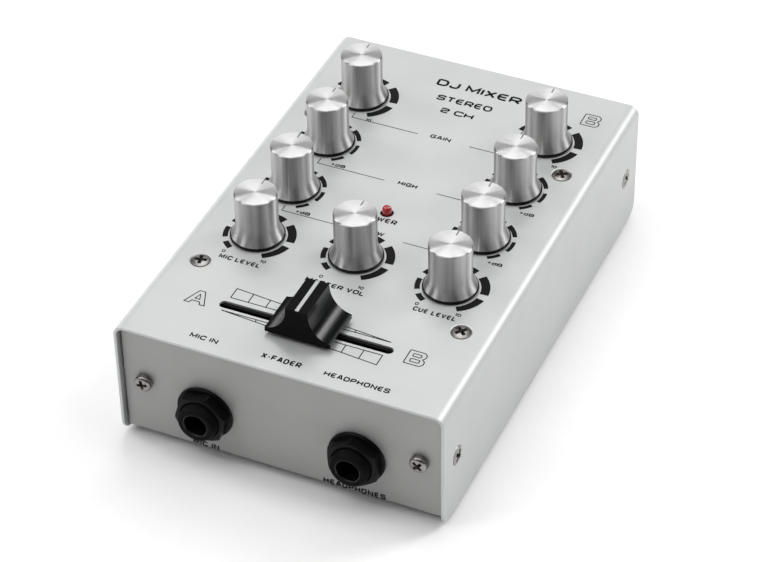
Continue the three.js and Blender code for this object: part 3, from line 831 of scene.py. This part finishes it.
def make_phono_sockets():
    """Stacked pairs of sockets: a housing, two metal sleeves and two colored insulators each."""
    tip, inner = 8.8, 1.6
    profile = [(inner, -1), (4.0, -1), (4.15, 0), (4.15, tip - 0.3), (3.95, tip), (3.6, tip)]
    profile += [(3.5, tip - 0.15), (3.5, tip - 0.9), (inner, tip - 0.9)]
    sleeve = finish_mesh("phono_sleeve", ring_body(profile, 72), NICKEL, 30)
    profile = [(inner, tip - 0.88), (3.45, tip - 0.88), (3.45, tip - 0.35), (1.9, tip - 0.3)]
    profile += [(inner, tip - 0.4)]
    discs = []
    for side, material in (("right", RED_INSULATOR), ("left", WHITE_INSULATOR)):
        disc = finish_mesh(f"phono_insulator_{side}", ring_body(profile, 64), material, 30)
        discs.append((side, disc))
    for node in PHONO_NODES:
        low, high = box_mm(node)
        x = (low.x + high.x) / 2
        housing = finish_mesh("phono_housing", block(-6, 6, low.z, high.z, -12, -1, 0.35), BLACK)
        title = node.removeprefix("phono_sockets_")
        at = (x, REAR, 0)
        add_piece(f"phono_housing_{title}", housing, "casing", [node], at, TO_BACK)
        for z, (side, disc) in zip(PHONO_HEIGHTS, discs):
            at = (x, REAR, z)
            add_piece(f"phono_sleeve_{title}_{side}", sleeve, "casing", (), at, TO_BACK)
            add_piece(f"phono_insulator_{title}_{side}", disc, "casing", (), at, TO_BACK)


def make_power_inlet():
    low, high = box_mm("power_inlet")
    at = ((low.x + high.x) / 2, REAR, INLET_HEIGHT)
    bore = 3.15
    body = block(-4.5, 4.5, low.z - INLET_HEIGHT, high.z - INLET_HEIGHT, -14, -1, 0.3)
    shape = carved(body, lathe([(0, -12), (bore, -12), (bore, 1), (0, 1)], 64))
    lip = [(bore, -1.2), (3.9, -1.2), (3.9, -0.1), (3.8, 0), (3.25, 0), (bore, -0.1)]
    joined(shape, ring_body(lip, 64))
    mesh = finish_mesh("power_inlet_body", shape, BLACK, 30)
    add_piece("power_inlet_body", mesh, "casing", ["power_inlet"], at, TO_BACK)
    pin = lathe([(0, -12.5), (1.05, -12.5), (1.05, -2.0), (0.7, -1.5), (0, -1.5)], 32)
    mesh = finish_mesh("power_inlet_pin", pin, NICKEL, 30)
    add_piece("power_inlet_pin", mesh, "casing", (), at, TO_BACK)


def make_switch_sliders():
    """The two slide buttons, each with three grip ridges."""
    for channel in "ab":
        node = f"switch_slider_{channel}"
        low, high = box_mm(node)
        tip = high.y - REAR
        shape = block(-1.5, 1.5, -2, 2, low.y - REAR, tip, 0.25)
        for x in (-0.8, 0, 0.8):
            joined(shape, block(x - 0.12, x + 0.12, -1.6, 1.6, tip - 0.3, tip + 0.12, 0.03))
        mesh = finish_mesh("slider_button", shape, MATT_BLACK)
        at = ((low.x + high.x) / 2, REAR, (low.z + high.z) / 2)
        add_piece(f"{node}_button", mesh, body_of(node), [node], at, TO_BACK)


# ---- Screen printing ----

INK_LOW, INK_HIGH = 0.004, 0.03
FINE_LINE = 0.32
MITER_LIMIT = 0.45

# Wide rounded capitals: each one's width, then its strokes on a unit square, where True means
# that the stroke's corners are softened.
GLYPHS = {
    "A": (1.1, [([(0, 0), (0.4, 1), (0.6, 1), (1, 0)], False), ([(0.16, 0.3), (0.84, 0.3)], False)]),
    "B": (1.1, [([(0, 0), (0, 1), (0.94, 1), (0.94, 0.53), (0, 0.53)], True),
                ([(0, 0), (1, 0), (1, 0.53), (0.5, 0.53)], True)]),
    "C": (1.1, [([(1, 0.74), (1, 1), (0, 1), (0, 0), (1, 0), (1, 0.26)], True)]),
    "D": (1.1, [([(0, 0), (0, 1)], False), ([(0, 1), (1, 1), (1, 0), (0, 0)], True)]),
    "E": (1.0, [([(1, 1), (0, 1), (0, 0), (1, 0)], True), ([(0, 0.5), (0.9, 0.5)], False)]),
    "F": (1.0, [([(1, 1), (0, 1), (0, 0)], False), ([(0, 0.5), (0.9, 0.5)], False)]),
    "G": (1.15, [([(1, 0.76), (1, 1), (0, 1), (0, 0), (1, 0), (1, 0.47), (0.55, 0.47)], True)]),
    "H": (1.1, [([(0, 0), (0, 1)], False), ([(1, 0), (1, 1)], False), ([(0, 0.5), (1, 0.5)], False)]),
    "I": (0.0, [([(0, 0), (0, 1)], False)]),
    "J": (0.9, [([(1, 1), (1, 0), (0, 0), (0, 0.3)], True)]),
    "K": (1.0, [([(0, 0), (0, 1)], False), ([(1, 1), (0.1, 0.5), (1, 0)], False)]),
    "L": (0.95, [([(0, 1), (0, 0), (1, 0)], False)]),
    "M": (1.35, [([(0, 0), (0, 1), (0.5, 0.2), (1, 1), (1, 0)], False)]),
    "N": (1.1, [([(0, 0), (0, 1), (1, 0), (1, 1)], False)]),
    "O": (1.15, [([(0.5, 1), (0, 1), (0, 0), (1, 0), (1, 1), (0.5, 1)], True)]),
    "P": (1.05, [([(0, 0), (0, 1)], False), ([(0, 1), (1, 1), (1, 0.42), (0, 0.42)], True)]),
    "R": (1.1, [([(0, 0), (0, 1)], False), ([(0, 1), (1, 1), (1, 0.42), (0, 0.42)], True),
                ([(0.5, 0.42), (1, 0)], False)]),
    "S": (1.1, [([(1, 0.76), (1, 1), (0, 1), (0, 0.52), (1, 0.52), (1, 0), (0, 0), (0, 0.24)], True)]),
    "T": (1.05, [([(0, 1), (1, 1)], False), ([(0.5, 1), (0.5, 0)], False)]),
    "U": (1.1, [([(0, 1), (0, 0), (1, 0), (1, 1)], True)]),
    "V": (1.15, [([(0, 1), (0.5, 0), (1, 1)], False)]),
    "W": (1.5, [([(0, 1), (0.25, 0), (0.5, 0.8), (0.75, 0), (1, 1)], False)]),
    "X": (1.05, [([(0, 0), (1, 1)], False), ([(0, 1), (1, 0)], False)]),
    "d": (0.85, [([(1, 0.66), (0, 0.66), (0, 0), (1, 0)], True), ([(1, 0), (1, 1)], False)]),
    "0": (0.95, [([(0.5, 1), (0, 1), (0, 0), (1, 0), (1, 1), (0.5, 1)], True)]),
    "1": (0.35, [([(0, 0.78), (1, 1), (1, 0)], False)]),
    "2": (1.0, [([(0, 0.76), (0, 1), (1, 1), (1, 0.5), (0, 0.5), (0, 0), (1, 0)], True)]),
    "+": (0.7, [([(0, 0.45), (1, 0.45)], False), ([(0.5, 0.1), (0.5, 0.8)], False)]),
    "-": (0.4, [([(0, 0.45), (1, 0.45)], False)]),
    "/": (0.6, [([(0, 0), (1, 1)], False)]),
    " ": (0.15, []),
}


def ribbon(shape, points, width, closed=False):
    """A flat printed line of constant width along a polyline, as a thin closed solid."""
    count = len(points)
    sides = []
    for k, point in enumerate(points):
        here = Vector(point)
        before = Vector(points[k - 1]) if k or closed else None
        after = Vector(points[(k + 1) % count]) if k < count - 1 or closed else None
        inward = (here - before).normalized() if before else (after - here).normalized()
        outward = (after - here).normalized() if after else inward
        bisector = (inward + outward).normalized()
        across = Vector((-bisector.y, bisector.x))
        stretch = 1 / max(MITER_LIMIT, bisector.dot(inward))
        offset = across * width / 2 * stretch
        sides.append((here - offset, here + offset))
    rows = []
    for side in sides:
        corners = [(point.x, point.y, z) for point in side for z in (INK_LOW, INK_HIGH)]
        rows.append([shape.verts.new(corner) for corner in corners])
    last = count if closed else count - 1
    for k in range(last):
        a, b = rows[k], rows[(k + 1) % count]
        for i, j in ((0, 2), (2, 3), (3, 1), (1, 0)):
            shape.faces.new((a[i], a[j], b[j], b[i]))
    if not closed:
        for row in (rows[0], rows[-1]):
            shape.faces.new((row[0], row[2], row[3], row[1]))


def write(shape, text, left, right, baseline, height, weight=0.23):
    """Prints text between left and right on a baseline; weight is the stroke's share of the height."""
    stroke = height * weight
    gap = stroke + height * 0.13
    widths = [GLYPHS[c][0] for c in text]
    scale_x = (right - left - stroke - gap * (len(text) - 1)) / sum(widths)
    scale_y = height - stroke
    pen, line_y = left + stroke / 2, baseline + stroke / 2
    for letter, width in zip(text, widths):
        for points, soft in GLYPHS[letter][1]:
            drawn = [(pen + x * width * scale_x, line_y + y * scale_y) for x, y in points]
            loop = soft and drawn[0] == drawn[-1]
            if loop:
                drawn = drawn[:-1]
            line = softened(drawn, height * 0.42, 5, loop) if soft else drawn
            ribbon(shape, line, stroke, loop)
        pen += width * scale_x + gap


def centred(shape, text, x, baseline, height, width, weight=0.23):
    write(shape, text, x - width / 2, x + width / 2, baseline, height, weight)


def sector(shape, x, y, inner, outer, start, stop):
    """A block of the scale round a knob, angles in degrees clockwise from the back."""
    first, last = outer if isinstance(outer, tuple) else (outer, outer)
    steps = max(2, round(abs(stop - start) / 4))
    rim, hub = [], []
    for k in range(steps + 1):
        t = k / steps
        angle = math.radians(start + (stop - start) * t)
        radius = first + (last - first) * t
        rim.append((x + radius * math.sin(angle), y + radius * math.cos(angle)))
        hub.append((x + inner * math.sin(angle), y + inner * math.cos(angle)))
    slab(shape, hub + rim[::-1], INK_LOW, INK_HIGH)


def level_scale(shape, x, y):
    """A scale whose six blocks widen clockwise, for a level control."""
    blocks = ((-149, -129.5, 10.9), (-117, -88, 10.75), (-73, -33, 10.95), (-18, 26, 11.5),
              (42, 87, 11.8), (100, 148, (11.7, 11.2)))
    for start, stop, outer in blocks:
        sector(shape, x, y, 9.1, outer, start, stop)


def tone_scale(shape, x, y):
    """A scale that is the same both ways from its middle, for a tone control."""
    inner = 8.95
    sector(shape, x, y, inner, 10.55, -21.5, 21.5)
    for side in (-1, 1):
        for start, stop, outer in ((32, 66, (10.7, 10.3)), (80.5, 110, 10.2), (126, 150.7, 10.2)):
            sector(shape, x, y, inner, outer, side * start, side * stop)


def outlined_letter(shape, letter, x, y, height):
    """A large channel letter drawn as a thin outline."""
    width = height * 0.98
    if letter == "A":
        width = height * 1.12
        loops = [
            [(0, 0), (0.36, 1), (0.64, 1), (1, 0), (0.76, 0), (0.69, 0.2), (0.31, 0.2), (0.24, 0)],
            [(0.38, 0.38), (0.62, 0.38), (0.5, 0.76)],
        ]
    else:
        loops = [
            softened([(0, 0), (0, 1), (0.8, 1), (0.95, 0.85), (0.95, 0.64), (0.82, 0.52), (1, 0.38),
                      (1, 0.14), (0.84, 0)], 0.06, 3, True),
            softened([(0.25, 0.6), (0.25, 0.8), (0.7, 0.8), (0.7, 0.6)], 0.06, 3, True),
            softened([(0.25, 0.2), (0.25, 0.42), (0.74, 0.42), (0.74, 0.2)], 0.06, 3, True),
        ]
    for loop in loops:
        points = [(x + (u - 0.5) * width, y + (v - 0.5) * height) for u, v in loop]
        ribbon(shape, points, FINE_LINE, True)


def crossfader_scales(shape, y):
    """Two wedges along the slot that taper opposite ways, with dividers."""
    left, right, tall, near, far = -26.2, 25.5, 4.45, 3.35, 2.8
    low, high = y + near, y - far
    for tip, square, base, top in ((right, left, low, low + tall), (left, right, high, high - tall)):
        ribbon(shape, [(tip, base), (square, base), (square, top), (tip, base)], FINE_LINE)
    for x in (-20.5 + 5.74 * k for k in range(8)):
        share = (right - x) / (right - left)
        ribbon(shape, [(x, low), (x, low + tall * share)], FINE_LINE)
        ribbon(shape, [(x, high), (x, high - tall * (1 - share))], FINE_LINE)


def end_marks(shape, x, y, zero=(-6.2, -11.45), ten=(6.95, -11.55)):
    """The figures at the ends of a level scale round x, y."""
    centred(shape, "0", x + zero[0], y + zero[1], 1.3, 1.15)
    centred(shape, "10", x + ten[0], y + ten[1], 1.3, 1.9)


def print_rows(shape, spots):
    """The names of the rows of knobs, with lines that lead to the knobs on both sides."""
    names = (("gain", "GAIN", -3.2, 3.75, 11.8), ("high", "HIGH", -2.9, 3.5, 11.8),
             ("low", "LOW", -2.9, 3.6, 11.35))
    for row, label, left, right, drop in names:
        y = spots[f"{row}_a"].y
        stem = -spots[f"{row}_a"].x - 1.45
        start, bar = y - 8.9, y - 11.5
        write(shape, label, left, right, y - drop, 1.9)
        for side, end in ((-1, -7.3), (1, 10.3)):
            ribbon(shape, [(side * stem, start), (side * stem, bar), (end, bar)], 0.26)
        for channel in "ab":
            x = spots[f"{row}_{channel}"].x
            if row == "gain":
                end_marks(shape, x, y)
            else:
                write(shape, "-dB", x - 10.4, x - 5.6, y - 10.9, 1.5)
                write(shape, "+dB", x + 5.6, x + 10.4, y - 10.9, 1.5)


def make_top_print():
    """The cover's print, drawn about the middle of the cover."""
    shape = bmesh.new()
    spots = {n.removeprefix("knob_"): centre_mm(n) - Vector((0, MID_Y, 0)) for n in KNOBS}
    for name, spot in spots.items():
        draw = tone_scale if f"knob_{name}" in TONE_KNOBS else level_scale
        draw(shape, spot.x, spot.y)
    for name, label, drop in (("mic_level", "MIC LEVEL", 14.15), ("cue_level", "CUE LEVEL", 13.95)):
        x, y, _ = spots[name]
        write(shape, label, x - 6.45, x + 7.2, y - drop, 1.95)
        end_marks(shape, x, y)
    x, y, _ = spots["master_vol"]
    centred(shape, "MASTER VOL", x, y - 16.2, 1.95, 19.2)
    end_marks(shape, x, y, (-5.8, -13.2), (7.3, -13.5))
    print_rows(shape, spots)
    # Left and right ends, baseline and height.
    labels = {
        "POWER": (-6.0, 4.9, -5.75, 2.15),
        "MIC IN": (-29.7, -20.7, -76.25, 1.95),
        "X-FADER": (-6.65, 5.95, -76.4, 2.2),
        "HEADPHONES": (13.2, 33.7, -76.4, 1.98),
        "DJ MIXER": (-12.6, 16.6, 66.6, 3.6),
        "STEREO": (-9.4, 9.6, 59.2, 2.9),
        "2 CH": (-5.6, 5.6, 53.2, 2.7),
    }
    for label, place in labels.items():
        write(shape, label, *place)
    crossfader_scales(shape, centre_mm("fader_housing").y - MID_Y)
    for letter, x, y in (("A", -35.0, -59.45), ("B", 34.95, -59.45), ("A", -41, 67.5), ("B", 41, 67.5)):
        outlined_letter(shape, letter, x, y, 5.9)
    mesh = finish_mesh("top_print", shape, INK)
    add_piece("top_print", mesh, "casing", (), (0, MID_Y, TOP))


def make_front_print():
    shape = bmesh.new()
    write(shape, "MIC IN", -29.5, -20.8, 3.4, 2.1, 0.25)
    write(shape, "HEADPHONES", 13.3, 33.3, 3.4, 2.1, 0.25)
    mesh = finish_mesh("front_print", shape, INK)
    add_piece("front_print", mesh, "casing", (), (0, FRONT, 0), TO_FRONT)


def make_rear_print():
    shape = bmesh.new()
    for node, label in (("input_a", "CH A"), ("master_out", "MASTER"), ("input_b", "CH B")):
        x = -centre_mm(f"phono_sockets_{node}").x
        centred(shape, label, x, 36.6, 1.7, 1.5 * len(label))
        for z, side in zip(PHONO_HEIGHTS, "RL"):
            centred(shape, side, x + 6.6, z - 0.8, 1.6, 1.3)
    for channel in "ab":
        x = -centre_mm(f"switch_housing_{channel}").x
        centred(shape, "LINE", x - 0.2, 17.8, 1.2, 4.2)
        centred(shape, "PHONO", x + 0.2, 9.2, 1.2, 5.6)
    centred(shape, "DC IN", -centre_mm("power_inlet").x, 20.2, 1.6, 6.8)
    mesh = finish_mesh("rear_print", shape, INK)
    add_piece("rear_print", mesh, "casing", (), (0, REAR, 0), TO_BACK)


# ---- Inside ----


def make_dust_shield():
    """A split black strip that hides the inside below the crossfader slot."""
    half_length, split, half_width = 31, 0.95, 4.8
    track = centre_mm("fader_housing")
    shape = bmesh.new()
    for near, far in ((-split, -half_width), (split, half_width)):
        outline = [(-half_length, near), (half_length, near), (half_length, far), (-half_length, far)]
        slab(shape, outline, -1.5, -1.15)
    mesh = finish_mesh("dust_shield", shape, MATT_BLACK)
    add_piece("dust_shield", mesh, "casing", (), (track.x, track.y, TOP))


def dress_inner_nodes():
    """Gives the parts inside the casing their finishes."""
    finishes = {"main_board": GREEN_BOARD, "rear_board": GREEN_BOARD, "board_connector": BLACK}
    finishes |= {"fader_housing": STEEL, "fader_carriage": MATT_BLACK}
    for node, piece in frame["nodes"].items():
        plain = node.startswith(("shaft_", "corner_bracket_", "switch_housing_"))
        material = STEEL if plain else finishes.get(node)
        if material:
            piece.data.materials.clear()
            piece.data.materials.append(material)


# ---- Studio ----

# Softboxes round the mixer: bearing clockwise from the back and height in degrees, then watts.
SOFTBOXES = (
    (0, 10, 8), (315, 10, 8),
    (45, 34, 18.5), (90, 34, 4), (225, 34, 7), (270, 34, 13),
    (335, 45, 2.5),
    (45, 60, 5), (90, 60, 8), (180, 60, 5), (225, 60, 6), (270, 60, 3.5), (335, 60, 7),
    (0, 90, 8),
)
# Width and height in metres of the boxes at each height.
BOX_SIZES = {10: (1.7, 0.75), 34: (0.6, 0.9), 45: (1.1, 0.9), 60: (0.9, 0.9), 90: (1.2, 1.2)}
STUDIO_RADIUS = 2.2
AIM = Vector((0, 0, 0.02))
FLOOR_HALF, FLOOR_CORNER, FLOOR_DEPTH = 4000, 200, 2


def add_softbox(bearing, height, watts):
    data = bpy.data.lights.new("softbox", "AREA")
    data.shape = "RECTANGLE"
    data.size, data.size_y = BOX_SIZES[height]
    data.energy = watts
    light = bpy.data.objects.new(f"softbox_{bearing}_{height}", data)
    scene.collection.objects.link(light)
    turn, rise = math.radians(bearing), math.radians(height)
    level = STUDIO_RADIUS * math.cos(rise)
    place = Vector((level * math.sin(turn), level * math.cos(turn), STUDIO_RADIUS * math.sin(rise)))
    light.location = place
    light.rotation_euler = (AIM - place).to_track_quat("-Z", "Y").to_euler()


def make_studio():
    world = bpy.data.worlds.new("studio")
    scene.world = world
    world.use_nodes = True
    world.node_tree.nodes["Background"].inputs["Color"].default_value = (0, 0, 0, 1)
    for bearing, height, watts in SOFTBOXES:
        add_softbox(bearing, height, watts)
    shape = bmesh.new()
    slab(shape, rounded_box(FLOOR_HALF, FLOOR_HALF, FLOOR_CORNER), -FLOOR_DEPTH, 0)
    floor = bpy.data.objects.new("floor", finish_mesh("floor", shape, FLOOR_WHITE))
    scene.collection.objects.link(floor)
    scene.view_settings.view_transform = "Standard"


make_cover()
make_chassis()
make_knobs()
make_fader_cap()
make_screws()
make_feet()
make_led()
make_jacks()
make_phono_sockets()
make_power_inlet()
make_switch_sliders()
make_top_print()
make_front_print()
make_rear_print()
make_dust_shield()
dress_inner_nodes()
make_studio()
